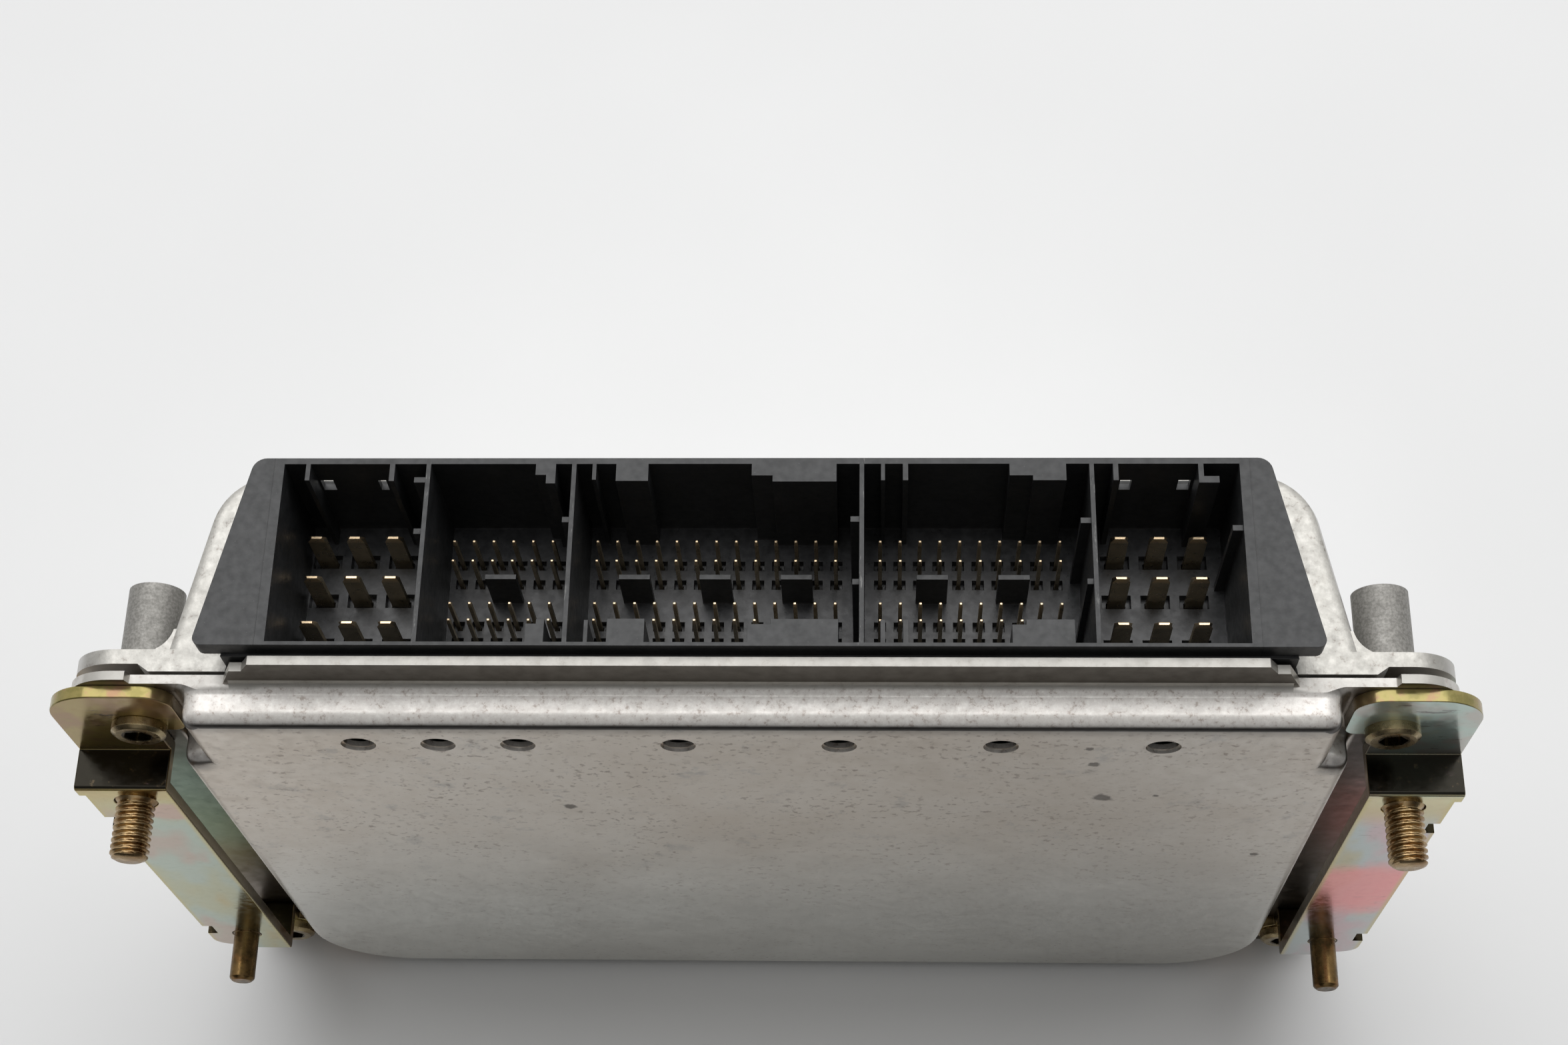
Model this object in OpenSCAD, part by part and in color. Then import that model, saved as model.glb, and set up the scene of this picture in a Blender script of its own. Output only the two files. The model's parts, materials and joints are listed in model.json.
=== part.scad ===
// Engine control unit: cast lid, drawn base pan, five-way header and two side brackets.
// It stands on its rear end with the sockets facing up, lid towards +Y and pan towards -Y.

/* [Casing] */
// Half width of the lid at its flange
lid_half_w = 88.2; // [84:0.2:94]
// Height of the lid above its flange face
lid_h = 33; // [32:0.5:45]
// Length of the lid from its rear face to its front face
lid_l = 131; // [126:1:160]
// Wall of the lid
lid_wall = 2; // [1.4:0.1:2.4]
// Inward lean of the lid's sides, degrees
lid_lean = 11; // [4:1:16]
// Shoulder radius of the lid
lid_shoulder_r = 10; // [6:0.5:12]
// Rounding of the lid's end edges
lid_edge_r = 2; // [1:0.25:3]
// Thickness of the lid's flange
lid_flange_t = 3.5; // [3:0.1:5]
// Root fillet between the lid's sides and its flange
lid_root_r = 4.5; // [2:0.25:5]
// Set-back of the lid's ears from its flange face
ear_relief = 1.2; // [0.6:0.1:1.8]
// Radius of the four ears
ear_r = 7.5; // [7:0.25:9]
// Distance of an ear's centre from the middle plane
ear_x = 94.7; // [93:0.1:100]
// Distance at which the lid's flange face starts to slope back to the ears
relief_x = 89.5; // [89:0.1:90]
// Half width of the side flanges
flange_half_w = 98.8; // [98:0.2:100]
// Thickness of the base sheet
base_t = 1.4; // [1:0.1:2]
// Depth of the pan below the base flange
pan_depth = 6.1; // [4:0.1:6.3]
// Half width of the pan
pan_half_w = 88; // [87:0.25:88.5]
// Half width of the pan's front part, between the bracket tabs
pan_front_half_w = 84.5; // [82:0.1:84.6]
// Distance of the pan's shoulders from the front of the lid
pan_shoulder_drop = 16.4; // [16:0.2:20]
// Corner radius of the pan at the rear
pan_corner_r = 18; // [16:1:24]
// Corner radius of the pan at the front
pan_front_r = 3; // [2.8:0.1:6]
// Edge rounding of the pan
pan_edge_r = 2.2; // [1.6:0.1:2.6]
// Root fillet between the pan and its flange
pan_root_r = 2; // [1:0.1:2]
// Distance of the pan's end walls from the flange ends
pan_end = 2; // [1.6:0.2:4]
// Height of the front lip above the base flange
lip_h = 7.4; // [4:0.1:9]
// Half width of the front lip
lip_half_w = 73; // [68:0.5:74]
// Thickness of the seal between lid and base
seal_t = 0.5; // [0.3:0.1:0.8]
// Width of the seal
seal_w = 2.6; // [1.8:0.1:3]
// Diameter of the row of holes in the pan
pan_hole_d = 5.2; // [3:0.1:7]
// Unit of the hole spacing
pan_hole_pitch = 11.87; // [9:0.01:14]
// Distance of the hole row from the front of the flange
pan_hole_inset = 8.8; // [8:0.1:14]

/* [Screws] */
// Thread diameter of the casing screws
screw_d = 5; // [4:0.5:6]
// Head diameter of the casing screws
screw_head_d = 8.2; // [7.8:0.1:9]
// Head height of the casing screws
screw_head_h = 1.9; // [1.6:0.1:3]
// Width of the screws' hexagon sockets across corners
hex_d = 4.4; // [3.6:0.1:4.8]
// Distance of the screws from the middle plane
screw_x = 93.5; // [92.5:0.1:97]
// Distance of the screws from the ends of the flange
screw_inset = 12; // [11:0.5:16]
// Diameter of the screw bosses
boss_d = 8.6; // [8:0.1:10]
// Height of the screw bosses above the flange face
boss_h = 17.8; // [12:0.2:22]
// Clearance round screws, studs and pins
fit_gap = 0.05; // [0.02:0.01:0.15]

/* [Header] */
// Pitch of the small pins
pin_pitch = 3; // [2.8:0.05:3.05]
// Width of a small pin
pin_w = 0.64; // [0.5:0.02:0.8]
// Height of the contacts above the socket floor
pin_h = 9; // [6:0.5:11]
// Width of a power tab
tab_w = 2.8; // [2:0.1:3.4]
// Thickness of a power tab
tab_t = 0.8; // [0.5:0.05:1]
// Spacing of the power tabs
tab_pitch = 5.9; // [5.2:0.05:6]
// Width of the well round each pin
well_w = 1.8; // [1.2:0.1:2]
// Depth of the wells in the socket floor
well_d = 1.5; // [1:0.1:2.5]
// Half width of the whole row of sockets
socket_half_w = 70.3; // [69:0.1:71]
// Height of the sockets, across the rows of pins
socket_h = 28.4; // [27:0.1:28.6]
// Depth of the sockets
socket_depth = 22.2; // [16:0.2:23]
// Thickness of the socket floor
floor_t = 4; // [3:0.5:6]
// Thickness of the walls between sockets
divider_t = 0.7; // [0.6:0.05:1]
// Thickness of the header's near and far walls
header_wall = 1; // [0.8:0.05:1.3]
// Half width of the header's flange at the near edge
header_near_half = 80.8; // [80:0.1:82]
// Half width of the header's flange at the far edge
header_far_half = 75.2; // [74:0.1:76]
// Thickness of the header's flange
header_flange_t = 3.4; // [2:0.2:5]
// Corner radius of the header's flange at the near edge
header_near_r = 1.2; // [0.6:0.2:3]
// Corner radius of the header's flange at the far edge
header_far_r = 2.2; // [1:0.2:4]
// Set-back of the header flange's near edge from the lid's flange face
header_near_set = 0.4; // [0.2:0.1:0.9]
// Overhang of the flange past the header's body
header_ledge = 3.4; // [3:0.1:4]
// Gap between the lid's front face and the header's flange
header_stand = 5.8; // [3:0.2:8]
// Gap between the header's body and the lid, filled by its seal
header_gap = 0.6; // [0.4:0.1:0.9]

/* [Brackets] */
// Thickness of the bracket plate
bracket_t = 2; // [1.5:0.1:2.4]
// Offset of the bracket's strip from its tab
bracket_step = 6.6; // [6:0.1:9]
// Rounding of the bracket's outer bends
bend_r = 0.7; // [0.4:0.1:1.2]
// Outer side of the bracket's tab from the middle plane
bracket_out_x = 105.9; // [105:0.1:110]
// Outer side of the bracket's strip from the middle plane
strip_out_x = 104.9; // [104:0.1:105]
// Outer side of the bracket's rear tab from the middle plane
rear_out_x = 98; // [97:0.1:98.5]
// Radius of the rear tab round its screw
rear_tab_r = 4.9; // [4.4:0.1:4.9]
// Inner side of the bracket's tab
tab_in_x = 86.6; // [86:0.1:88]
// Inner side of the bracket's strip
strip_in_x = 91.5; // [91.2:0.1:93]
// Distance of the tab's top from the front of the lid
tab_drop = 0.7; // [0.4:0.1:3]
// Distance of the step's upper face from the front of the lid
step_drop = 22.5; // [21:0.5:26]
// Distance of the strip's rear end from the rear of the lid
strip_end_z = 22; // [16:0.5:30]
// Thread diameter of the front studs
stud_d = 6; // [5:0.5:6]
// Length of a stud past the strip
stud_l = 9.3; // [7:0.1:16]
// Diameter of the rear locating pins
peg_d = 4.5; // [3:0.1:6]
// Length of a locating pin past the strip
peg_l = 8.8; // [6:0.1:9.2]
// Distance of studs and pins from the middle plane
stud_x = 97.7; // [96.5:0.1:99]
// Distance of the front studs from the front of the lid
stud_drop = 28.4; // [27:0.2:34]
// Height of the rear locating pins above the rear of the lid
peg_z = 29; // [27.5:0.5:36]
// Head diameter of studs and pins, behind the strip
stud_head_d = 9; // [8:0.2:10]
// Head height of studs and pins
stud_head_h = 1.4; // [1:0.1:2]
// Thickness of the collar round a stud or pin in its hole
collar_t = 0.3; // [0.2:0.05:0.6]

/* [Circuit] */
// Distance of the board's side edges from the lid's foot
board_side_gap = 7.2; // [6.4:0.1:9]
// Thickness of the circuit board
board_t = 1.6; // [1:0.2:2]
// Height of the board's upper side above the lid's flange face
board_y = 6; // [5:0.25:6.5]
// Distance of the board's rear edge from the rear of the lid
board_z0 = 6; // [5:0.5:10]
// Gap between the board's front edge and the header
board_front_gap = 2; // [1:0.5:3]
// Diameter of the board's screws
board_screw_d = 3; // [2.5:0.5:3.5]
// Diameter of the lid's posts for the board
post_d = 7; // [6:0.5:8]
// Side of the microcontroller
mcu_w = 24; // [20:1:28]
// Diameter of the capacitors
cap_d = 12; // [8:1:13]
// Height of the capacitors
cap_h = 18; // [10:1:20]
// Side of the inductors
coil_w = 12; // [8:1:14]
// Side of the ignition drivers
driver_w = 10; // [8:0.5:12]

/* [Hidden] */
$fn = 64;
eps = 0.01;

// Planes across the casing, measured from the lid's flange face
base_back_y = -seal_t;
base_front_y = base_back_y - base_t;
pan_face_y = base_front_y - pan_depth;
tab_face_y = base_front_y - bracket_t;
strip_face_y = tab_face_y - bracket_step;
strip_back_y = strip_face_y + bracket_t;
stud_tip_y = strip_face_y - stud_l;
centre_y = (lid_h + stud_tip_y) / 2;

// Heights along the casing
base_ear_rise = 1.4;
screw_z = [screw_inset, lid_l - screw_inset];
base_l = lid_l - 0.1;
hole_z = base_l - pan_hole_inset;
pan_z0 = pan_end;
pan_z1 = base_l - 0.3;
shoulder_z = lid_l - pan_shoulder_drop;
lip_top = base_l + lip_h;
rim_z = lid_l + header_stand + header_flange_t;
floor_z = rim_z - socket_depth;
header_back_z = floor_z - floor_t;
stud_z = lid_l - stud_drop;
step_z = lid_l - step_drop;
rear_step_z = strip_end_z - bracket_t - 0.5;

// Header sockets: edges from left to right, near and far inner walls
header_near_y = 0;
socket_y0 = header_near_y + header_wall;
socket_y1 = socket_y0 + socket_h;
header_far_y = socket_y1 + header_wall;
row = socket_half_w / 70.3;
socket_x = row * [-70.3, -48.8, -27.2, 15.2, 48.8, 70.3];
// Rows of pins, near wall to far wall, and the first column of each pin group
pin_rows = [10.1, 12.8, 19.8, 23];
tail_step = 3;
pins_24_x = -46.6 * row;
pins_52_x = -24.8 * row;
pins_40_x = 17.9 * row;
// Rows of power tabs, and the first column of each tab group
tab_rows = [9.6, 17, 23.6];
tabs_left_x = -67.8 * row;
tabs_right_x = 53.9 * row;

// Keys in the sockets: [left, right, stand-out], far wall then near wall, flush with the rim
far_keys = row * [[-67.1, -66.4, 2.7], [-54.6, -53.8, 2.8], [-32.9, -31.3, 1.8], [-31.3, -29.9, 3.2],
                  [-24.5, -23.9, 2.6], [-21, -16.2, 2.8], [-1, 2.1, 1.9], [2.1, 11.5, 2.9], [18, 18.6, 2.7],
                  [21.2, 22, 2.7], [36.8, 40.2, 1.9], [40.2, 45.1, 2.7], [51.9, 52.7, 2.7], [64.3, 65.1, 3.1]];
near_keys = row * [[-32.9, -31.4, 2.8], [-31.4, -30.2, 3.5], [-24.5, -23.9, 3.4], [-21.2, -15.8, 3.6],
                   [-1.1, 2.2, 2.8], [2.2, 11.9, 3.6], [17.9, 18.6, 3.5], [21.1, 21.9, 3.5], [36.6, 38.6, 2.8],
                   [38.6, 45.5, 3.6]];
near_key_h = 16;
// Foot at the tip of the last far key, towards the right wall
key_foot = 2.2;
key_foot_t = 1.1;
// Guide ribs on the left of the walls: [wall, place across the socket, stand-out]
guide_ribs = [[1, 27.1, 1.8], [1, 18.7, 1.2], [2, 20.6, 1.1], [3, 20.7, 1.3], [3, 10.7, 1], [4, 20.5, 1.5],
              [4, 10.8, 0.9], [5, 19.3, 1.5]];
guide_rib_t = 0.9;
guide_rib_set = 0.6;
// Latch windows through the far wall of the two power sockets: [left, right], and their drop from the rim
latch_windows = row * [[-66.1, -64.2], [-57.4, -56.2], [53.5, 55.2], [62.1, 63.9]];
latch_drop = 5.4;
// Keying posts on the socket floor
posts_x = row * [-39.2, -19, -6.85, 5.35, 25.7, 37.9];
post_w = 4.7;
post_t = 0.8;
post_h = pin_h;
post_y = 17.1;

// Circuit board: edges and screw places
board_z1 = header_back_z - board_front_gap;
board_back_y = board_y - board_t;
board_half_w = lid_half_w - board_side_gap;
board_screws_x = board_half_w - 3.5;
board_screws_z = [board_z0 + 8, board_z1 - 18];
function across(f) = f * board_half_w;
function along(f) = board_z0 + f * (board_z1 - board_z0);
board_head_d = 5.6;
board_head_h = 1.8;

function lid_side_x(y) = lid_half_w - y * tan(lid_lean);
shoulder_y = lid_h - lid_shoulder_r;
shoulder_x = lid_side_x(shoulder_y) - lid_shoulder_r / cos(lid_lean);

module case_frame() translate([0, -centre_y, 0]) children();

// A plate lying across Y, drawn in X and Z
module slab(y0, t) translate([0, y0 + t, 0]) rotate([90, 0, 0]) linear_extrude(t) children();

// A bar lying along X, drawn in Y and Z
module bar(x0, w) translate([x0, 0, 0]) rotate([90, 0, 90]) linear_extrude(w) children();

// A rod along Y between two planes
module rod(x, z, y0, y1, d) translate([x, y1, z]) rotate([90, 0, 0]) cylinder(d = d, h = y1 - y0);

module both_sides() {
    children();
    mirror([1, 0, 0]) children();
}

module round_rect(x0, z0, x1, z1, r) {
    translate([x0 + r, z0]) square([x1 - x0 - 2 * r, z1 - z0]);
    translate([x0, z0 + r]) square([x1 - x0, z1 - z0 - 2 * r]);
    for (x = [x0 + r, x1 - r], z = [z0 + r, z1 - r]) translate([x, z]) circle(r);
}

// Section of the lid, set in by a distance
module lid_section(inset) {
    r = lid_shoulder_r - inset;
    foot_x = lid_half_w - inset / cos(lid_lean);
    side = [shoulder_x + r * cos(lid_lean), shoulder_y + r * sin(lid_lean)];
    polygon([[-foot_x, 0], [foot_x, 0], side, [shoulder_x, lid_h - inset], [-shoulder_x, lid_h - inset],
             [-side[0], side[1]]]);
    for (s = [-1, 1]) translate([s * shoulder_x, shoulder_y]) circle(r);
}

module lid_slice(z, inset) translate([0, 0, z]) linear_extrude(eps) lid_section(inset);

module lid_shell() {
    soft = lid_edge_r * 0.3;
    hull() {
        lid_slice(0, lid_edge_r);
        lid_slice(soft, soft);
        lid_slice(lid_edge_r, 0);
        lid_slice(lid_l - lid_edge_r - eps, 0);
        lid_slice(lid_l - soft - eps, soft);
        lid_slice(lid_l - eps, lid_edge_r);
    }
}

// Points along an arc between two angles
function arc(x, y, r, a0, a1, steps = 6) = [for (i = [0 : steps]) let (a = a0 + (a1 - a0) * i / steps)
    [x + r * cos(a), y + r * sin(a)]];

// Right half of the flange's outline with its two ears, from the rear to the front, in X and Z
function flange_half(length, top) = let (
    ear_l = 2 * screw_inset,
    meet = acos((flange_half_w - ear_x) / ear_r),
    rear = concat(arc(ear_x, ear_r, ear_r, -90, 0, 12), arc(ear_x, ear_l - ear_r, ear_r, 0, meet, 8)),
    front = concat(arc(ear_x, top - ear_l + ear_r, ear_r, -meet, 0, 8),
                   arc(ear_x, top - ear_r, ear_r, 0, 90, 12)),
    step = top > length ? [[ear_x - 2.2, top], [ear_x - 2.6, length]] : [])
    concat(rear, front, step);

// Outline of the flange with its four ears, in X and Z
module flange_outline(length, ear_top) {
    right = flange_half(length, ear_top);
    polygon(concat(right, [for (i = [len(right) - 1 : -1 : 0]) [-right[i][0], right[i][1]]]));
}

// Section of the header's body, wide towards the base
module header_section(grow) {
    near = header_near_half - header_ledge + grow;
    far = header_far_half - header_ledge + grow;
    polygon([[-near, header_near_y], [near, header_near_y], [far, header_far_y + grow],
             [-far, header_far_y + grow]]);
}

// Section of the fillet between the lid's right side and its flange
module lid_root() {
    wall_y = lid_flange_t + lid_root_r * (1 - sin(lid_lean));
    wall_x = lid_side_x(wall_y);
    sunk = 0.05;
    mid_x = wall_x + lid_root_r * cos(lid_lean) - sunk;
    polygon(concat([[mid_x, lid_flange_t - 1], [wall_x - 1, lid_flange_t - 1], [wall_x - 1, wall_y + sunk]],
                   arc(mid_x, lid_flange_t + lid_root_r, lid_root_r, 180 + lid_lean, 270, 10)));
}

module lid() {
    color("#c9c7c1") difference() {
        union() {
            lid_shell();
            both_sides() translate([0, 0, 0.9]) linear_extrude(lid_l - 1.8) lid_root();
            difference() {
                slab(0, lid_flange_t) flange_outline(lid_l, lid_l);
                both_sides() translate([0, 0, -1]) linear_extrude(lid_l + 2)
                    polygon([[relief_x, -1], [relief_x, 0], [relief_x + 1.7, ear_relief],
                             [ear_x + ear_r + 1, ear_relief], [ear_x + ear_r + 1, -1]]);
            }
            for (x = [-screw_x, screw_x], z = screw_z) rod(x, z, ear_relief, boss_h, boss_d);
        }
        difference() {
            translate([0, 0, lid_wall]) linear_extrude(lid_l - 2 * lid_wall) {
                lid_section(lid_wall);
                translate([-lid_half_w + lid_wall / cos(lid_lean), -1])
                    square([2 * (lid_half_w - lid_wall / cos(lid_lean)), 1 + eps]);
            }
            for (x = [-board_screws_x, board_screws_x], z = board_screws_z)
                rod(x, z, board_y, lid_h, post_d);
        }
        translate([0, 0, lid_l - lid_wall - 1]) linear_extrude(lid_wall + 2) {
            header_section(header_gap);
            translate([-header_near_half + header_ledge - header_gap, -1])
                square([2 * (header_near_half - header_ledge + header_gap), 1 + eps]);
        }
        for (x = [-screw_x, screw_x], z = screw_z) rod(x, z, -1, boss_h - 2, screw_d + 2 * fit_gap);
        for (x = [-board_screws_x, board_screws_x], z = board_screws_z)
            rod(x, z, board_y - 1, board_y + 8, board_screw_d + 2 * fit_gap);
    }
}

// Plan of one block of the pan in X and Z, set in by a distance
module pan_plan(half, z0, z1, r0, r1, inset) {
    w = half - inset;
    a = r0 - inset;
    b = r1 - inset;
    low = z0 + inset;
    high = z1 - inset;
    translate([-w, low + a]) square([2 * w, high - low - a - b]);
    translate([-w + a, low]) square([2 * (w - a), high - low - b]);
    translate([-w + b, low + a]) square([2 * (w - b), high - low - a]);
    for (s = [-1, 1]) {
        translate([s * (w - a), low + a]) circle(a);
        translate([s * (w - b), high - b]) circle(b);
    }
}

// Profile of the pan's side: round outer edge above, root fillet below
module pan_profile(run) {
    r = pan_edge_r;
    f = pan_root_r;
    cut = 0.02;
    square([run, pan_depth - r]);
    square([run - r, pan_depth]);
    translate([run - r, pan_depth - r]) circle(r);
    difference() {
        translate([run - 0.5, -0.5]) square([f + 0.5, f + 0.5]);
        translate([run + f - cut, f - cut]) circle(f);
    }
}

// One block of the pan: a filled middle, four straight sides and four round corners
module pan_block(half, z0, z1, r0, r1) {
    slab(pan_face_y, pan_depth) pan_plan(half, z0, z1, r0, r1, pan_edge_r);
    both_sides() translate([half - r1, base_front_y, z0 + r0]) rotate([180, 0, 0]) mirror([0, 0, 1])
        linear_extrude(z1 - z0 - r0 - r1) pan_profile(r1);
    translate([0, base_front_y, z1 - r1]) bar(-half + r1, 2 * (half - r1)) rotate([0, 0, 90]) pan_profile(r1);
    translate([0, base_front_y, z0 + r0]) bar(-half + r0, 2 * (half - r0))
        mirror([0, 1, 0]) rotate([0, 0, 90]) pan_profile(r0);
    both_sides() {
        translate([half - r1, base_front_y, z1 - r1]) rotate([90, 0, 0]) rotate_extrude(angle = 90)
            pan_profile(r1);
        translate([half - r0, base_front_y, z0 + r0]) rotate([90, 0, 0]) rotate([0, 0, -90])
            rotate_extrude(angle = 90) pan_profile(r0);
    }
}

module pan_blocks_plan(inset) {
    pan_plan(pan_half_w, pan_z0, shoulder_z, pan_corner_r, pan_front_r, inset);
    pan_plan(pan_front_half_w, shoulder_z / 2, pan_z1, pan_front_r, pan_front_r, inset);
}

module pan_body() {
    pan_block(pan_half_w, pan_z0, shoulder_z, pan_corner_r, pan_front_r);
    pan_block(pan_front_half_w, shoulder_z / 2, pan_z1, pan_front_r, pan_front_r);
}

// Front lip of the base sheet with its stepped ends
module lip_outline() {
    ramp = lip_half_w + 3.2;
    polygon([[-ramp - 2, base_l - 4], [-ramp - 2, base_l], [-ramp, base_l + lip_h * 0.66],
             [-lip_half_w - 1.4, base_l + lip_h * 0.66], [-lip_half_w, lip_top], [lip_half_w, lip_top],
             [lip_half_w + 1.4, base_l + lip_h * 0.66], [ramp, base_l + lip_h * 0.66], [ramp + 2, base_l],
             [ramp + 2, base_l - 4]]);
}

module base_outline() {
    flange_outline(base_l, lid_l + base_ear_rise);
    lip_outline();
}

// A pierced hole, a little wider at the pan's face
module pan_hole(x) {
    rod(x, hole_z, pan_face_y - 1, pan_face_y + 0.6, pan_hole_d);
    rod(x, hole_z, pan_face_y - 1, base_front_y, pan_hole_d - 0.5);
}

module base_pan() {
    color("#c4c1ba") difference() {
        union() {
            slab(base_front_y, base_t) base_outline();
            difference() {
                pan_body();
                both_sides() translate([lip_half_w + 4.2, pan_face_y - 1, base_l])
                    cube([20, pan_depth + 3, 20]);
            }
        }
        slab(pan_face_y + base_t, pan_depth + 1) pan_blocks_plan(base_t);
        for (k = [0, 1, 2, 4, 6, 8, 10])
            pan_hole((k - 5) * pan_hole_pitch);
        for (x = [-screw_x, screw_x], z = screw_z)
            rod(x, z, base_front_y - 1, base_back_y + 1, screw_d + 2 * fit_gap);
    }
}

module housing_seal() {
    half = lid_half_w;
    inner = half - seal_w;
    top = base_l - 1;
    color("#1b1b1b") slab(base_back_y, seal_t) difference() {
        round_rect(-half, lid_edge_r, half, top, lid_edge_r);
        round_rect(-inner, lid_edge_r + seal_w, inner, top - seal_w, lid_edge_r);
    }
}

// Squares of the pins, drawn in X and Y
module pin_cells(w, h) {
    for (group = [[pins_24_x, 6], [pins_52_x, 13], [pins_40_x, 10]], i = [0 : group[1] - 1], y = pin_rows)
        translate([group[0] + i * pin_pitch - w / 2, y - h / 2]) square([w, h]);
}

// Rectangles of the power tabs, drawn in X and Y
module tab_cells(w, h) {
    for (x0 = [tabs_left_x, tabs_right_x], i = [0 : 2], y = tab_rows)
        translate([x0 + i * tab_pitch - w / 2, y - h / 2]) square([w, h]);
}

// Flange of the header: a trapezoid plate with round corners
module header_flange_outline() {
    n = header_near_r;
    f = header_far_r;
    edge_y = header_near_y + header_near_set;
    lean = atan((header_near_half - header_far_half) / (header_far_y - edge_y));
    near = header_near_half - n;
    far = header_far_half - f;
    polygon(concat(arc(near, edge_y + n, n, -90, lean), arc(far, header_far_y - f, f, lean, 90),
                   arc(-far, header_far_y - f, f, 90, 180 - lean),
                   arc(-near, edge_y + n, n, 180 - lean, 270)));
}

module sockets_outline() for (i = [0 : 4]) {
    x0 = socket_x[i] + (i == 0 ? 0 : divider_t / 2);
    x1 = socket_x[i + 1] - (i == 4 ? 0 : divider_t / 2);
    translate([x0, socket_y0]) square([x1 - x0, socket_h]);
}

module connector_housing() {
    color("#3b3d40") {
        difference() {
            union() {
                translate([0, 0, header_back_z]) linear_extrude(rim_z - header_back_z - header_flange_t)
                    header_section(0);
                translate([0, 0, rim_z - header_flange_t]) linear_extrude(header_flange_t)
                    header_flange_outline();
            }
            translate([0, 0, floor_z]) linear_extrude(socket_depth + 1) sockets_outline();
            translate([0, 0, floor_z - well_d]) linear_extrude(well_d + 1) {
                pin_cells(well_w, well_w * 0.85);
                tab_cells(tab_w + 1.6, tab_t + 1.4);
            }
            for (w = latch_windows) translate([w[0], socket_y1 - 1, lid_l + 0.6])
                cube([w[1] - w[0], header_wall + 2, rim_z - latch_drop - lid_l - 0.6]);
            translate([0, 0, header_back_z - 1]) linear_extrude(floor_t + 2) {
                pin_cells(pin_w + 2 * fit_gap, pin_w + 2 * fit_gap);
                tab_cells(tab_w + 2 * fit_gap, tab_t + 2 * fit_gap);
            }
        }
        for (k = far_keys) translate([k[0], socket_y1 - k[2], floor_z - eps])
            cube([k[1] - k[0], k[2] + eps, socket_depth + eps]);
        last = far_keys[len(far_keys) - 1];
        translate([last[1] - eps, socket_y1 - last[2], floor_z - eps])
            cube([key_foot + eps, key_foot_t, socket_depth + eps]);
        for (k = near_keys) translate([k[0], socket_y0 - eps, rim_z - near_key_h])
            cube([k[1] - k[0], k[2] + eps, near_key_h]);
        for (g = guide_ribs) translate([socket_x[g[0]] - (g[0] == 5 ? 0 : divider_t / 2) - g[2],
                                        g[1] - guide_rib_t / 2, floor_z - eps])
            cube([g[2] + eps, guide_rib_t, socket_depth - guide_rib_set + eps]);
        for (x = posts_x) translate([x - post_w / 2, post_y - post_t / 2, floor_z - eps])
            cube([post_w, post_t, post_h]);
    }
}

module connector_seal() {
    color("#202020") translate([0, 0, lid_l - lid_wall]) linear_extrude(lid_wall + 0.4) difference() {
        header_section(header_gap);
        header_section(0);
        translate([-header_near_half, header_near_y - 1]) square([2 * header_near_half, 1]);
    }
}

// One contact: from its tip through the floor, back, then down to the board
module contact(x, y, w, t, back) {
    tip = floor_z + pin_h;
    h = t / 2;
    bar(x - w / 2, w) polygon([[y - h / 2, tip], [y + h / 2, tip], [y + h, tip - t], [y + h, back],
                               [board_y, back], [board_y, back + t], [y - h, back + t], [y - h, tip - t]]);
}

module contact_group(x0, count, pitch, rows, w, t) {
    for (i = [0 : count - 1], r = [0 : len(rows) - 1])
        contact(x0 + i * pitch, rows[r], w, t, board_z1 - (r + 1) * tail_step);
}

module tab_group(x0) contact_group(x0, 3, tab_pitch, tab_rows, tab_w, tab_t);
module pin_group(x0, count) contact_group(x0, count, pin_pitch, pin_rows, pin_w, pin_w);

module power_tabs_left() color("#a08a5c") tab_group(tabs_left_x);
module power_tabs_right() color("#a08a5c") tab_group(tabs_right_x);
module pins_24_way() color("#c79a55") pin_group(pins_24_x, 6);
module pins_52_way() color("#c79a55") pin_group(pins_52_x, 13);
module pins_40_way() color("#c79a55") pin_group(pins_40_x, 10);

module circuit_board() {
    color("#2f6b3a") slab(board_back_y, board_t) difference() {
        round_rect(-board_half_w, board_z0, board_half_w, board_z1, 2);
        for (x = [-board_screws_x, board_screws_x], z = board_screws_z)
            translate([x, z]) circle(d = board_screw_d + 2 * fit_gap);
    }
}

module board_screws() {
    color("#9a9a9a") for (x = [-board_screws_x, board_screws_x], z = board_screws_z) {
        rod(x, z, board_back_y - board_head_h, board_back_y, board_head_d);
        rod(x, z, board_back_y - eps, board_y + 7, board_screw_d);
    }
}

// A chip lying on the board, with a row of legs on its long sides
module chip(x, z, w, l, h, legs) {
    leg = 0.5;
    reach = 1.4;
    translate([x - w / 2, board_y + leg, z - l / 2]) cube([w, h, l]);
    for (i = [0 : legs - 1], s = [-1, 1])
        translate([x + s * w / 2 - reach / 2, board_y, z - l / 2 + (i + 0.5) * l / legs - leg / 2])
            cube([reach, leg + eps, leg]);
}

module microcontroller() color("#232527") chip(across(-0.1), along(0.43), mcu_w, mcu_w, 3, 16);
module memory_chip() color("#26282a") chip(across(0.3), along(0.43), mcu_w / 2, mcu_w * 0.75, 2.6, 12);
module regulator() color("#2a2a2c") chip(across(-0.54), along(0.19), driver_w, driver_w * 0.9, 3.4, 3);

module driver_chips() {
    color("#2a2a2c") for (f = [-0.67, -0.37, 0.37, 0.67])
        chip(across(f), along(0.68), driver_w * 1.1, driver_w * 1.4, 3, 8);
}

module ignition_drivers() {
    color("#222426") for (f = [0.57, 0.79], g = [0.17, 0.36])
        chip(across(f), along(g), driver_w, driver_w, 4, 3);
}

module crystal() {
    color("#b5b5b0") translate([across(-0.4), 0, along(0.43)])
        slab(board_y, 3.6) round_rect(-5, -2.2, 5, 2.2, 2.1);
}

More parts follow.
